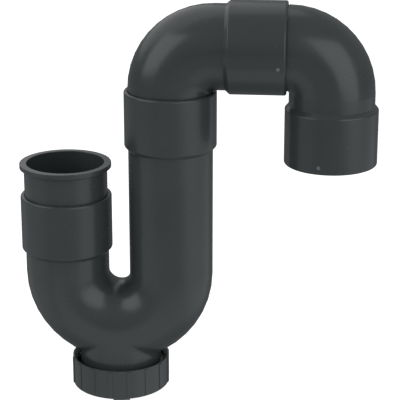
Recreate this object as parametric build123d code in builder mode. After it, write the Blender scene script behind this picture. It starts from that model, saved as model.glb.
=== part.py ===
"""Solvent-weld waste trap for 40 mm pipe, with two swivelling bends and a screw-off cleanout cap.

Millimetres, +Z up. The origin is the centre of the inlet seal's upper lip, where the tail pipe is
gripped. The inlet axis is the Z axis, and every pipe axis lies in the XZ plane.
"""

import os
from math import sqrt

from build123d import *

# Pipe and sockets
PIPE_R = 20.0
PIPE_WALL = 1.9
BORE_R = PIPE_R - PIPE_WALL
SKIN_R = 20.25
FIT_GAP = 0.08
SOCKET_BORE_R = PIPE_R + FIT_GAP
SOCKET_R = 22.05
SOCKET_DEPTH = 26.0
SOCKET_FLOOR = 2.5
SHOULDER_RUN = 2.0
SOCKET_ROUND = 0.9
MOUTH_CHAMFER = 0.3
SPIGOT_END_GAP = 0.6
SPIGOT_CHAMFER = 0.7

# Moulding gate mark near a bend's socket mouth
GATE_R = 0.9
GATE_RISE = 0.45
GATE_ROUND = 0.4
GATE_SINK = 0.6
GATE_FROM_MOUTH = 3.5
GATE_ANGLE = 14.0

# Trap body
LEG_SPACING = 51.0
U_BEND_RADIUS = LEG_SPACING / 2
U_BEND_Z = -41.7
INLET_MOUTH_Z = -2.9
SWIVEL_MOUTH_Z = 49.8

# Bends
BEND_RADIUS = 20.5
MOUTH_TO_CORNER = 21.2
CORNER_TO_SOCKET_MOUTH = 54.8
CORNER_Z = SWIVEL_MOUTH_Z + MOUTH_TO_CORNER
OUTLET_X = LEG_SPACING + CORNER_TO_SOCKET_MOUTH + MOUTH_TO_CORNER

# Inlet sleeve and its seal
RIM_Z = 13.0
RIM_R = 22.1
RIM_EDGE = 2.1
RIM_UNDERCUT = 1.0
RIM_ROUND = 0.3
SLEEVE_BORE_R = 18.65
LEDGE_R = 17.2
LEDGE_THICKNESS = 2.0
TAIL_PIPE_R = 16.0
SEAL_LINING = 0.9
LIP_LAND = 1.6
LIP_ROOT = 3.4
LIP_PITCH = 6.0
LIP_COUNT = 3
SEAL_HEIGHT = LIP_PITCH * (LIP_COUNT - 1) + LIP_LAND + LIP_ROOT

# Cleanout boss, cap and gasket
BOSS_R = 19.9
BOSS_BORE_R = 17.4
BOSS_BLEND = 4.0
CAP_TOP_Z = -85.5
CAP_BOTTOM_Z = -100.4
CAP_R = 24.2
CAP_BORE_R = 21.6
CAP_FLOOR = 2.5
CAP_ROUND = 1.0
CAP_LEAD_IN = 1.5
RIB_COUNT = 16
RIB_RISE = 0.35
RIB_WIDTH = 2.3
RIB_MARGIN = 0.6
RIB_ROUND = 0.2
RIB_PHASE = -5.2
GASKET_THICKNESS = 2.0
GASKET_R = 21.2
GASKET_BORE_R = 17.0
GRIP_WIDTH = 8.2
GRIP_LENGTH = 43.6
GRIP_HEIGHT = 8.0
GRIP_ROUND = 0.9
GRIP_BLEND = 0.6
GRIP_TURN = 8.0
BOSS_END_Z = CAP_BOTTOM_Z + CAP_FLOOR + GASKET_THICKNESS

# Cleanout thread
THREAD_PITCH = 3.0
THREAD_DEPTH = 1.1
THREAD_ROOT_WIDTH = 1.5
THREAD_CREST_WIDTH = 0.8
THREAD_SINK = 0.15
BOSS_THREAD_TURNS = 2.5
CAP_THREAD_TURNS = 1.5

OUTWARD_UP = Plane.XZ


def upright_plane(x, z):
    """A plane through (x, 0, z) whose local x is +X and whose local y is +Z."""
    return Plane(origin=(x, 0, z), x_dir=(1, 0, 0), z_dir=(0, -1, 0))


def socket_skin(mouth):
    """Half outline of a socket's outside: local y runs out of the mouth, local x is the radius."""
    floor_y = -SOCKET_DEPTH - SOCKET_FLOOR
    with BuildSketch(mouth) as skin:
        with BuildLine():
            Polyline(
                (0, 0),
                (SOCKET_R, 0),
                (SOCKET_R, floor_y + SHOULDER_RUN),
                (SKIN_R, floor_y),
                (0, floor_y),
                close=True,
            )
        make_face()
        fillet(skin.vertices().group_by(Axis.X)[-1], SOCKET_ROUND)
    return skin.sketch


def socket_bore(mouth):
    """Half outline of the space inside a socket, with a lead-in chamfer at its mouth."""
    with BuildSketch(mouth) as bore:
        with BuildLine():
            Polyline(
                (0, 0),
                (SOCKET_BORE_R + MOUTH_CHAMFER, 0),
                (SOCKET_BORE_R, -MOUTH_CHAMFER),
                (SOCKET_BORE_R, -SOCKET_DEPTH),
                (0, -SOCKET_DEPTH),
                close=True,
            )
        make_face()
    return bore.sketch


def thread(root_r, height_z, turns, inward):
    """One helical thread ridge about the cleanout axis, sunk a little into the wall it stands on."""
    side = -1 if inward else 1
    with BuildPart() as ridge:
        with BuildLine() as path:
            Helix(
                pitch=THREAD_PITCH,
                height=THREAD_PITCH * turns,
                radius=root_r,
                center=(U_BEND_RADIUS, 0, height_z),
            )
        start = Plane(origin=path.line @ 0, x_dir=(side, 0, 0), z_dir=path.line % 0)
        with BuildSketch(start):
            with BuildLine():
                Polyline(
                    (-THREAD_SINK, THREAD_ROOT_WIDTH / 2),
                    (THREAD_DEPTH, THREAD_CREST_WIDTH / 2),
                    (THREAD_DEPTH, -THREAD_CREST_WIDTH / 2),
                    (-THREAD_SINK, -THREAD_ROOT_WIDTH / 2),
                    close=True,
                )
            make_face()
        sweep(path=path.line, is_frenet=True)
    return ridge.part


def male_female_bend(corner):
    """A 90 degree bend on a corner plane: its spigot runs along local -y, its socket along local +x."""
    spigot_y = -(MOUTH_TO_CORNER + SOCKET_DEPTH - SPIGOT_END_GAP)
    bend_mid = BEND_RADIUS * (1 - sqrt(0.5))
    socket_plane = Plane(
        origin=corner.from_local_coords(Vector(CORNER_TO_SOCKET_MOUTH, 0, 0)),
        x_dir=corner.y_dir,
        z_dir=-corner.z_dir,
    )
    socket_axis = Axis(socket_plane.origin, socket_plane.y_dir)
    spigot_end = Plane(
        origin=corner.from_local_coords(Vector(0, spigot_y, 0)),
        x_dir=corner.x_dir,
        z_dir=corner.y_dir,
    )
    bend_start = Plane(
        origin=corner.from_local_coords(Vector(0, -BEND_RADIUS, 0)),
        x_dir=corner.x_dir,
        z_dir=corner.y_dir,
    )
    gate_direction = (corner.z_dir).rotate(Axis((0, 0, 0), corner.x_dir), GATE_ANGLE)
    gate_foot = socket_plane.from_local_coords(Vector(0, -GATE_FROM_MOUTH, 0))
    gate_plane = Plane(
        origin=gate_foot + gate_direction * (SOCKET_R - GATE_SINK),
        x_dir=corner.x_dir,
        z_dir=gate_direction,
    )
    with BuildPart() as bend:
        with BuildLine(corner) as waterway:
            Line((0, spigot_y), (0, -BEND_RADIUS))
            ThreePointArc((0, -BEND_RADIUS), (bend_mid, -bend_mid), (BEND_RADIUS, 0))
            Line((BEND_RADIUS, 0), (CORNER_TO_SOCKET_MOUTH - SOCKET_DEPTH, 0))
        with BuildLine(corner) as thick_run:
            ThreePointArc((0, -BEND_RADIUS), (bend_mid, -bend_mid), (BEND_RADIUS, 0))
            Line((BEND_RADIUS, 0), (CORNER_TO_SOCKET_MOUTH - SOCKET_DEPTH, 0))
        with BuildSketch(spigot_end):
            Circle(PIPE_R)
        extrude(amount=-spigot_y - BEND_RADIUS)
        chamfer(bend.edges().group_by(Axis(corner.origin, corner.y_dir))[0], SPIGOT_CHAMFER)
        with BuildSketch(bend_start):
            Circle(SKIN_R)
        sweep(path=thick_run.line)
        revolve(socket_skin(socket_plane), axis=socket_axis)
        with BuildSketch(spigot_end):
            Circle(BORE_R)
        sweep(path=waterway.line, mode=Mode.SUBTRACT)
        revolve(socket_bore(socket_plane), axis=socket_axis, mode=Mode.SUBTRACT)
        with BuildSketch(gate_plane):
            Circle(GATE_R)
        extrude(amount=GATE_SINK + GATE_RISE)
        fillet(bend.edges().group_by(Axis(gate_foot, gate_direction))[-1], GATE_ROUND)
    return bend.part


# Trap body: inlet socket, U-bend, long leg, swivel socket and threaded cleanout boss
inlet_mouth = upright_plane(0, INLET_MOUTH_Z)
swivel_mouth = upright_plane(LEG_SPACING, SWIVEL_MOUTH_Z)
INLET_AXIS = Axis.Z
SWIVEL_AXIS = Axis((LEG_SPACING, 0, 0), (0, 0, 1))

with BuildPart() as trap_body:
    inlet_floor_z = INLET_MOUTH_Z - SOCKET_DEPTH
    swivel_floor_z = SWIVEL_MOUTH_Z - SOCKET_DEPTH
    with BuildLine(OUTWARD_UP) as waterway:
        Line((0, inlet_floor_z), (0, U_BEND_Z))
        TangentArc((0, U_BEND_Z), (LEG_SPACING, U_BEND_Z), tangent=(0, -1))
        Line((LEG_SPACING, U_BEND_Z), (LEG_SPACING, swivel_floor_z))
    with BuildSketch(Plane.XY.offset(inlet_floor_z)):
        Circle(SKIN_R)
    sweep(path=waterway.line)
    revolve(socket_skin(inlet_mouth), axis=INLET_AXIS)
    revolve(socket_skin(swivel_mouth), axis=SWIVEL_AXIS)
    with BuildSketch(Plane.XY.offset(BOSS_END_Z)):
        with Locations((U_BEND_RADIUS, 0)):
            Circle(BOSS_R)
    extrude(amount=U_BEND_Z - U_BEND_RADIUS - BOSS_END_Z)
    boss_root = trap_body.edges().filter_by(GeomType.BSPLINE)
    fillet(boss_root, BOSS_BLEND)
    add(thread(BOSS_R, BOSS_END_Z + THREAD_ROOT_WIDTH / 2, BOSS_THREAD_TURNS, inward=False))
    with BuildSketch(Plane.XY.offset(inlet_floor_z)):
        Circle(BORE_R)
    sweep(path=waterway.line, mode=Mode.SUBTRACT)
    revolve(socket_bore(inlet_mouth), axis=INLET_AXIS, mode=Mode.SUBTRACT)
    revolve(socket_bore(swivel_mouth), axis=SWIVEL_AXIS, mode=Mode.SUBTRACT)
    with BuildSketch(Plane.XY.offset(BOSS_END_Z)):
        with Locations((U_BEND_RADIUS, 0)):
            Circle(BOSS_BORE_R)
    extrude(amount=U_BEND_Z - U_BEND_RADIUS - BOSS_END_Z, mode=Mode.SUBTRACT)

# Inlet sleeve: a rimmed tube cemented in the inlet socket, with a ledge under its seal
SLEEVE_END_Z = INLET_MOUTH_Z - SOCKET_DEPTH + SPIGOT_END_GAP
SEAL_TOP_Z = LIP_LAND / 2
LEDGE_Z = SEAL_TOP_Z - SEAL_HEIGHT

with BuildPart() as inlet_sleeve:
    with BuildSketch(OUTWARD_UP):
        with BuildLine():
            Polyline(
                (SLEEVE_BORE_R, RIM_Z),
                (RIM_R, RIM_Z),
                (RIM_R, RIM_Z - RIM_EDGE),
                (SOCKET_BORE_R, RIM_Z - RIM_EDGE - RIM_UNDERCUT),
                (SOCKET_BORE_R, SLEEVE_END_Z),
                (BORE_R, SLEEVE_END_Z),
                (BORE_R, LEDGE_Z - LEDGE_THICKNESS - SPIGOT_CHAMFER),
                (LEDGE_R, LEDGE_Z - LEDGE_THICKNESS),
                (LEDGE_R, LEDGE_Z),
                (SLEEVE_BORE_R, LEDGE_Z),
                close=True,
            )
        make_face()
    revolve(axis=INLET_AXIS)
    fillet(inlet_sleeve.edges().group_by(Axis.Z)[-1], RIM_ROUND)

# Inlet seal: a rubber lining with lips whose lands grip the tail pipe
with BuildPart() as inlet_seal:
    with BuildSketch(OUTWARD_UP):
        lining_r = SLEEVE_BORE_R - SEAL_LINING
        with Locations((SLEEVE_BORE_R - SEAL_LINING / 2, LEDGE_Z + SEAL_HEIGHT / 2)):
            Rectangle(SEAL_LINING, SEAL_HEIGHT)
        for lip in range(LIP_COUNT):
            land_z = -lip * LIP_PITCH
            with BuildLine():
                Polyline(
                    (TAIL_PIPE_R, land_z + LIP_LAND / 2),
                    (TAIL_PIPE_R, land_z - LIP_LAND / 2),
                    (lining_r, land_z - LIP_LAND / 2 - LIP_ROOT),
                    (lining_r + SEAL_LINING / 2, land_z - LIP_LAND / 2 - LIP_ROOT),
                    (lining_r + SEAL_LINING / 2, land_z + LIP_LAND / 2),
                    close=True,
                )
            make_face()
    revolve(axis=INLET_AXIS)

# Upper elbow: turns on the vertical axis of the swivel socket
upper_corner = upright_plane(LEG_SPACING, CORNER_Z)
with BuildPart() as upper_elbow:
    add(male_female_bend(upper_corner))

# Outlet elbow: turns on the horizontal axis of the upper elbow's socket
outlet_corner = Plane(origin=(OUTLET_X, 0, CORNER_Z), x_dir=(0, 0, -1), z_dir=(0, -1, 0))
with BuildPart() as outlet_elbow:
    add(male_female_bend(outlet_corner))

# Cleanout cap: a ribbed cup with an internal thread and a grip bar across its underside
with BuildPart() as cleanout_cap:
    rib_stand_r = CAP_R - RIB_RISE
    with BuildSketch(Plane.XY.offset(CAP_BOTTOM_Z)):
        with Locations((U_BEND_RADIUS, 0)):
            Circle(rib_stand_r)
    extrude(amount=CAP_TOP_Z - CAP_BOTTOM_Z)
    fillet(cleanout_cap.edges().group_by(Axis.Z)[0], CAP_ROUND)
    with BuildSketch(Plane.XY.offset(CAP_BOTTOM_Z + CAP_ROUND)):
        with Locations((U_BEND_RADIUS, 0)):
            with PolarLocations(rib_stand_r, RIB_COUNT, start_angle=RIB_PHASE):
                RectangleRounded(2 * RIB_RISE, RIB_WIDTH, RIB_ROUND)
    extrude(amount=CAP_TOP_Z - CAP_BOTTOM_Z - CAP_ROUND - RIB_MARGIN)
    with BuildSketch(Plane.XY.offset(CAP_BOTTOM_Z + CAP_FLOOR)):
        with Locations((U_BEND_RADIUS, 0)):
            Circle(CAP_BORE_R)
    extrude(amount=CAP_TOP_Z - CAP_BOTTOM_Z, mode=Mode.SUBTRACT)
    cap_rim = cleanout_cap.edges().filter_by_position(Axis.Z, CAP_TOP_Z, CAP_TOP_Z)
    chamfer(cap_rim.sort_by(SortBy.LENGTH)[0], CAP_LEAD_IN)
    add(
        thread(
            CAP_BORE_R,
            BOSS_END_Z + THREAD_ROOT_WIDTH / 2 + THREAD_PITCH / 2,
            CAP_THREAD_TURNS,
            inward=True,
        )
    )
    with BuildSketch(Plane.XY.offset(CAP_BOTTOM_Z - GRIP_HEIGHT)):
        with Locations((U_BEND_RADIUS, 0)):
            SlotOverall(GRIP_LENGTH, GRIP_WIDTH, rotation=90 + GRIP_TURN)
    extrude(amount=GRIP_HEIGHT)
    grip_rims = cleanout_cap.edges().filter_by_position(
        Axis.Z, CAP_BOTTOM_Z - GRIP_HEIGHT, CAP_BOTTOM_Z - GRIP_HEIGHT
    )
    fillet(grip_rims, GRIP_ROUND)
    underside_edges = cleanout_cap.edges().filter_by_position(Axis.Z, CAP_BOTTOM_Z, CAP_BOTTOM_Z)
    grip_root = underside_edges.sort_by(SortBy.LENGTH)[:-1]
    fillet(grip_root, GRIP_BLEND)

# Cap gasket: the flat ring between the boss's end and the cap's floor
with BuildPart() as cap_gasket:
    with BuildSketch(Plane.XY.offset(CAP_BOTTOM_Z + CAP_FLOOR)):
        with Locations((U_BEND_RADIUS, 0)):
            Circle(GASKET_R)
            Circle(GASKET_BORE_R, mode=Mode.SUBTRACT)
    extrude(amount=GASKET_THICKNESS)

trap_body.part.label = "trap_body"
inlet_sleeve.part.label = "inlet_sleeve"
inlet_seal.part.label = "inlet_seal"
upper_elbow.part.label = "upper_elbow"
outlet_elbow.part.label = "outlet_elbow"
cleanout_cap.part.label = "cleanout_cap"
cap_gasket.part.label = "cap_gasket"

os.makedirs("parts", exist_ok=True)
for piece in (trap_body, inlet_sleeve, inlet_seal, upper_elbow, outlet_elbow, cleanout_cap, cap_gasket):
    export_step(piece.part, f"parts/{piece.part.label}.step")
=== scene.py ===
import math

import bmesh
import bpy
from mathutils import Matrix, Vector


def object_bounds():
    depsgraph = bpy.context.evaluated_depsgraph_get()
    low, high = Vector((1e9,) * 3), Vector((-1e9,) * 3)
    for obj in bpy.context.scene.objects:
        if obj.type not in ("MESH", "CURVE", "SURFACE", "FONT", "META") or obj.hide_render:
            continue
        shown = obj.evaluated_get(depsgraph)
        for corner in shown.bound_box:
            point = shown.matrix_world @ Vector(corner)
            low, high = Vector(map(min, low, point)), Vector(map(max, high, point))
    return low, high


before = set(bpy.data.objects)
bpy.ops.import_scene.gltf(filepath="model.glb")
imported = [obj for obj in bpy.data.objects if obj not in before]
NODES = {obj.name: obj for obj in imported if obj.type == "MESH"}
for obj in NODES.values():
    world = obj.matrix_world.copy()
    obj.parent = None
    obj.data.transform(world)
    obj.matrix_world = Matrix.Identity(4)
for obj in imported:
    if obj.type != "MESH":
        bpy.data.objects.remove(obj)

cad_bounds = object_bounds()
MM = 0.001

# Height below which the cap is its grip bar, and the room it needs below to unscrew
CAP_UNDERSIDE = -0.1012
CAP_TRAVEL = 0.0095
# Centres of the gate nubs on the upper and outlet elbows, where a pale highlight is painted on
GATES = ((0.1023, -0.0214, 0.0657), (0.1217, -0.0214, 0.0197))

# Sizes of the plastic's features, and how far wear reaches from an edge
CLOUD_SIZE = 0.030
FLECK_SIZE = 0.0008
SCUFF_SIZE = 0.0022
WEAR_PATCH_SIZE = 0.004
PALE_PATCH_SIZE = 0.003
PEEL_SIZE = 0.0045
GRAIN_SIZE = 0.0004
WEAR_REACH = 0.30 * MM
PVC_IOR = 1.53
RUBBER_IOR = 1.52


# ---------------------------------------------------------------- materials

class Shader:
    """A node tree being filled: adds nodes, links them, and ends in one Principled shader."""

    def __init__(self, name):
        self.material = bpy.data.materials.new(name)
        self.material.use_nodes = True
        self.tree = self.material.node_tree
        self.principled = self.tree.nodes["Principled BSDF"]
        self.coords = self.add("ShaderNodeTexCoord").outputs["Object"]

    def add(self, kind, inputs=None, **settings):
        node = self.tree.nodes.new(kind)
        for key, value in settings.items():
            setattr(node, key, value)
        for key, value in (inputs or {}).items():
            if isinstance(value, bpy.types.NodeSocket):
                self.tree.links.new(value, node.inputs[key])
            else:
                node.inputs[key].default_value = value
        return node

    def drive(self, socket, output):
        self.tree.links.new(output, self.principled.inputs[socket])

    def noise(self, size, detail=3.0, roughness=0.5):
        """Noise whose features are about size metres across."""
        inputs = {"Vector": self.coords, "Scale": 1.0 / size, "Detail": detail, "Roughness": roughness}
        return self.add("ShaderNodeTexNoise", inputs).outputs["Fac"]

    def remap(self, value, low, high, out_low, out_high):
        """Value eased from one range into another, with no crease where it levels off."""
        names = ("Value", "From Min", "From Max", "To Min", "To Max")
        inputs = dict(zip(names, (value, low, high, out_low, out_high)))
        return self.add("ShaderNodeMapRange", inputs, interpolation_type="SMOOTHSTEP").outputs["Result"]

    def math(self, operation, a, b):
        return self.add("ShaderNodeMath", {0: a, 1: b}, operation=operation).outputs["Value"]

    def blend(self, factor, a, b):
        node = self.add("ShaderNodeMix", data_type="RGBA")
        for socket, value in ((node.inputs[0], factor), (node.inputs[6], a), (node.inputs[7], b)):
            if isinstance(value, bpy.types.NodeSocket):
                self.tree.links.new(value, socket)
            else:
                socket.default_value = value
        return node.outputs[2]

    def edge_wear(self, radius):
        """0 on open faces, up to 1 on convex and concave edges within radius."""
        rounded = self.add("ShaderNodeBevel", {"Radius": radius}, samples=6).outputs["Normal"]
        normal = self.add("ShaderNodeNewGeometry").outputs["Normal"]
        cosine = self.add("ShaderNodeVectorMath", {0: rounded, 1: normal}, operation="DOT_PRODUCT")
        return self.remap(cosine.outputs["Value"], 0.995, 0.90, 0.0, 1.0)

    def bump(self, height, distance, strength, under=None):
        inputs = {"Height": height, "Distance": distance, "Strength": strength}
        if under:
            inputs["Normal"] = under
        return self.add("ShaderNodeBump", inputs).outputs["Normal"]


def grey(value, warmth=0.0):
    """A blue-green grey of that brightness, or a more neutral one with some warmth."""
    return (value * (0.86 + warmth), value, value * (1.03 - warmth), 1.0)


def moulded_pvc(name, tone, gloss, gates=(), pale_below=None):
    """Dark grey moulded PVC: faintly cloudy pigment, pale flecks, a fine grain, handling scuffs, worn
    edges. Its gate nubs get a painted highlight, and it is made paler and matt below a given height."""
    s = Shader(name)
    clouds = s.noise(CLOUD_SIZE, detail=2.0)
    flecks = s.noise(FLECK_SIZE, detail=1.0)
    scuffs = s.noise(SCUFF_SIZE, detail=4.0, roughness=0.6)
    base = s.blend(s.remap(clouds, 0.2, 0.8, 0.0, 1.0), grey(tone * 0.93), grey(tone * 1.07, 0.010))
    base = s.blend(s.remap(flecks, 0.74, 0.90, 0.0, 0.25), base, grey(tone * 1.7))
    scuff_mask = s.remap(scuffs, 0.58, 0.82, 0.0, 0.30)
    base = s.blend(scuff_mask, base, grey(tone * 1.5))
    wear_patches = s.remap(s.noise(WEAR_PATCH_SIZE), 0.30, 0.70, 0.20, 1.0)
    wear = s.math("MULTIPLY", s.edge_wear(WEAR_REACH), wear_patches)
    base = s.blend(s.math("MULTIPLY", wear, 0.35), base, grey(tone * 2.2))
    rough = s.remap(clouds, 0.2, 0.8, gloss - 0.02, gloss + 0.02)
    rough = s.math("ADD", rough, s.math("MULTIPLY", scuff_mask, 0.20))
    rough = s.math("ADD", rough, s.math("MULTIPLY", wear, 0.10))
    # Painted highlight: a pale spot on each gate nub stands in for the glint of light on it
    for gate in gates:
        gap = s.add("ShaderNodeVectorMath", {0: s.coords, 1: gate}, operation="DISTANCE")
        gate_highlight = s.remap(gap.outputs["Value"], 0.7 * MM, 1.2 * MM, 0.9, 0.0)
        base = s.blend(gate_highlight, base, grey(tone * 3.2))
    if pale_below is not None:
        # Below the grip height the colour is made much paler, in patches, and the finish matter
        height = s.add("ShaderNodeSeparateXYZ", {"Vector": s.coords}).outputs["Z"]
        pale_bar = s.remap(height, pale_below + 0.5 * MM, pale_below - 0.5 * MM, 0.0, 1.0)
        patchy = s.remap(s.noise(PALE_PATCH_SIZE, detail=5.0, roughness=0.7), 0.30, 0.70, 0.45, 1.0)
        pale_bar = s.math("MULTIPLY", pale_bar, patchy)
        base = s.blend(pale_bar, base, grey(tone * 5.5, 0.02))
        rough = s.math("ADD", rough, s.math("MULTIPLY", pale_bar, 0.20))
    s.drive("Base Color", base)
    s.drive("Roughness", rough)
    peel = s.bump(s.noise(PEEL_SIZE, detail=1.0), 0.04 * MM, 0.30)
    grain = s.bump(s.noise(GRAIN_SIZE, detail=2.0), 0.006 * MM, 0.5, under=peel)
    s.drive("Normal", grain)
    s.principled.inputs["IOR"].default_value = PVC_IOR
    return s.material


def seal_rubber(name):
    """Black rubber: matt, with a dusty bloom and a fine moulded grain."""
    s = Shader(name)
    bloom = s.noise(0.008, detail=5.0)
    base = s.blend(s.remap(bloom, 0.35, 0.75, 0.0, 1.0), grey(0.008), grey(0.020, 0.03))
    base = s.blend(s.math("MULTIPLY", s.edge_wear(0.3 * MM), 0.5), base, grey(0.045))
    s.drive("Base Color", base)
    s.drive("Roughness", s.remap(bloom, 0.3, 0.7, 0.55, 0.75))
    s.drive("Normal", s.bump(s.noise(0.0006, detail=3.0), 0.02 * MM, 0.6))
    s.principled.inputs["IOR"].default_value = RUBBER_IOR
    return s.material


def paint(node, material):
    NODES[node].data.materials.clear()
    NODES[node].data.materials.append(material)


body_pvc = moulded_pvc("body_pvc_finish", 0.065, 0.26)
elbow_pvc = moulded_pvc("elbow_pvc_finish", 0.063, 0.25, gates=GATES)
cap_pvc = moulded_pvc("cap_pvc_finish", 0.067, 0.34, pale_below=CAP_UNDERSIDE)
rubber = seal_rubber("seal_rubber_finish")
for node in ("trap_body", "inlet_sleeve"):
    paint(node, body_pvc)
for node in ("upper_elbow", "outlet_elbow"):
    paint(node, elbow_pvc)
paint("cleanout_cap", cap_pvc)
for node in ("inlet_seal", "cap_gasket"):
    paint(node, rubber)


# ---------------------------------------------------------------- camera, light and floor

# The world round the trap, by the sine of the height looked at: a table that starts below the
# horizon and glows by side, and a room that brightens upwards
TABLE_START = -0.12
TABLE_FULL = -0.34
RIGHT_GLOW = 0.45
LEFT_GLOW = 0.20
FRONT_GLOW = 0.14
ROOM_LOW = 0.16
ROOM_HIGH = 0.30
CAMERA_LENS = 139.1
SENSOR_WIDTH = 36.0
CAMERA_PLACE = (0.12874, -0.70331, 0.22834)
CAMERA_AIM = Vector((0.06509, 0.0, -0.00435))
LIGHT_REACH = 1.1
LIGHT_AIM = Vector((0.06, 0.0, -0.01))
U_BEND_FOOT = Vector((0.0255, 0.0, -0.080))


def make_camera():
    """A long lens a little right of the front, looking down on the trap."""
    data = bpy.data.cameras.new("camera")
    data.lens = CAMERA_LENS
    data.sensor_width = SENSOR_WIDTH
    camera = bpy.data.objects.new("camera", data)
    camera.location = CAMERA_PLACE
    camera.rotation_euler = (CAMERA_AIM - camera.location).to_track_quat("-Z", "Y").to_euler()
    bpy.context.scene.collection.objects.link(camera)
    bpy.context.scene.camera = camera


def softbox(name, azimuth, elevation, width, height, radiance, aim=LIGHT_AIM, reach=LIGHT_REACH):
    """A softbox aimed at the trap: azimuth 0 is the front (-Y), 90 is +X."""
    turn, rise = math.radians(azimuth), math.radians(elevation)
    out = Vector((math.cos(rise) * math.sin(turn), -math.cos(rise) * math.cos(turn), math.sin(rise)))
    data = bpy.data.lights.new(name, "AREA")
    data.shape = "RECTANGLE"
    data.size = width
    data.size_y = height
    data.energy = radiance * math.pi * width * height
    light = bpy.data.objects.new(name, data)
    light.location = aim + reach * out
    light.rotation_euler = (-out).to_track_quat("-Z", "Y").to_euler()
    bpy.context.scene.collection.objects.link(light)


def make_floor():
    floor_mesh = bpy.data.meshes.new("floor")
    plan = bmesh.new()
    bmesh.ops.create_grid(plan, x_segments=8, y_segments=8, size=4.0)
    plan.to_mesh(floor_mesh)
    plan.free()
    floor = bpy.data.objects.new("floor", floor_mesh)
    floor.location = (0.0, 0.0, cad_bounds[0].z - CAP_TRAVEL)
    material = bpy.data.materials.new("pale_floor")
    material.use_nodes = True
    shader = material.node_tree.nodes["Principled BSDF"]
    shader.inputs["Base Color"].default_value = (0.86, 0.86, 0.86, 1.0)
    shader.inputs["Roughness"].default_value = 0.9
    shader.inputs["Emission Color"].default_value = (1.0, 1.0, 1.0, 1.0)
    shader.inputs["Emission Strength"].default_value = 0.75
    floor_mesh.materials.append(material)
    floor.visible_glossy = False
    floor.visible_diffuse = False
    floor.visible_shadow = False
    bpy.context.scene.collection.objects.link(floor)


def make_world():
    """Pale to the camera, but lit as a studio is: dim round about, with a white table in front."""
    world = bpy.data.worlds.new("studio")
    world.use_nodes = True
    tree = world.node_tree
    dome = tree.nodes["Background"]
    dome.inputs["Color"].default_value = (0.95, 0.98, 1.0, 1.0)

    def eased(value, low, high, out_low, out_high):
        node = tree.nodes.new("ShaderNodeMapRange")
        node.interpolation_type = "SMOOTHSTEP"
        for key, setting in enumerate((low, high, out_low, out_high), start=1):
            node.inputs[key].default_value = setting
        tree.links.new(value, node.inputs["Value"])
        return node.outputs["Result"]

    def combine(operation, a, b):
        node = tree.nodes.new("ShaderNodeMath")
        node.operation = operation
        tree.links.new(a, node.inputs[0])
        tree.links.new(b, node.inputs[1])
        return node.outputs["Value"]

    direction = tree.nodes.new("ShaderNodeTexCoord").outputs["Generated"]
    parts = tree.nodes.new("ShaderNodeSeparateXYZ")
    tree.links.new(direction, parts.inputs["Vector"])
    up, away = parts.outputs["Z"], parts.outputs["Y"]
    across = parts.outputs["X"]
    right = eased(across, 0.50, 0.80, 0.0, RIGHT_GLOW)
    left = eased(across, -0.50, -0.80, 0.0, LEFT_GLOW)
    sides = combine("ADD", right, left)
    sides = combine("MULTIPLY", sides, eased(away, 0.85, 0.55, 0.0, 1.0))
    front = eased(away, 0.3, -0.3, 0.0, FRONT_GLOW)
    below = eased(up, TABLE_START, TABLE_FULL, 0.0, 1.0)
    table = combine("MULTIPLY", below, combine("ADD", sides, front))
    level = combine("ADD", eased(up, -0.1, 0.5, ROOM_LOW, ROOM_HIGH), table)
    tree.links.new(level, dome.inputs["Strength"])

    backdrop = tree.nodes.new("ShaderNodeBackground")
    path = tree.nodes.new("ShaderNodeLightPath")
    seen = tree.nodes.new("ShaderNodeMixShader")
    tree.links.new(path.outputs["Is Camera Ray"], seen.inputs["Fac"])
    tree.links.new(dome.outputs["Background"], seen.inputs[1])
    tree.links.new(backdrop.outputs["Background"], seen.inputs[2])
    tree.links.new(seen.outputs["Shader"], tree.nodes["World Output"].inputs["Surface"])
    bpy.context.scene.world = world
    bpy.context.scene.view_settings.view_transform = "Standard"


make_camera()
make_world()
make_floor()
softbox("right_softbox", 50.0, 19.0, 1.05, 1.15, 1.05)
softbox("left_softbox", -62.0, 28.0, 0.85, 0.88, 1.20)
softbox("back_softbox", -137.0, 48.0, 1.40, 1.50, 0.50)
softbox("table_bounce", 5.0, -38.0, 0.36, 0.20, 0.22, aim=U_BEND_FOOT, reach=0.20)
